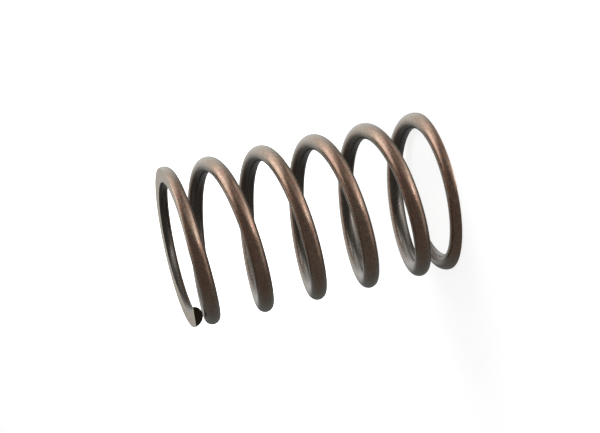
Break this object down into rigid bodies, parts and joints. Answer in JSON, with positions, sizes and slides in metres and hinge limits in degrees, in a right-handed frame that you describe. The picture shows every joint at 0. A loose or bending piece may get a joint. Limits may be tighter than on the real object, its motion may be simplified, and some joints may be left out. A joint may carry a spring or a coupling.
{
  "type": "engine valve spring",
  "caption": "Right-hand helical compression spring of round wire, with closed and ground end coils, that shuts an engine's valve.",
  "frame": {"origin": "on the coil axis, in the plane of the lower ground end", "axes": "+Z along the coil axis from the lower ground end to the upper one, +X through the lower cut end"},
  "size_m": [0.0254, 0.0254, 0.042],
  "materials": {
    "spring_steel": "satin, brown heat-tinted spring wire with pale ground ends"
  },
  "bodies": {
    "root": {"valve_spring": "spring_steel"}
  },
  "joints": []
}
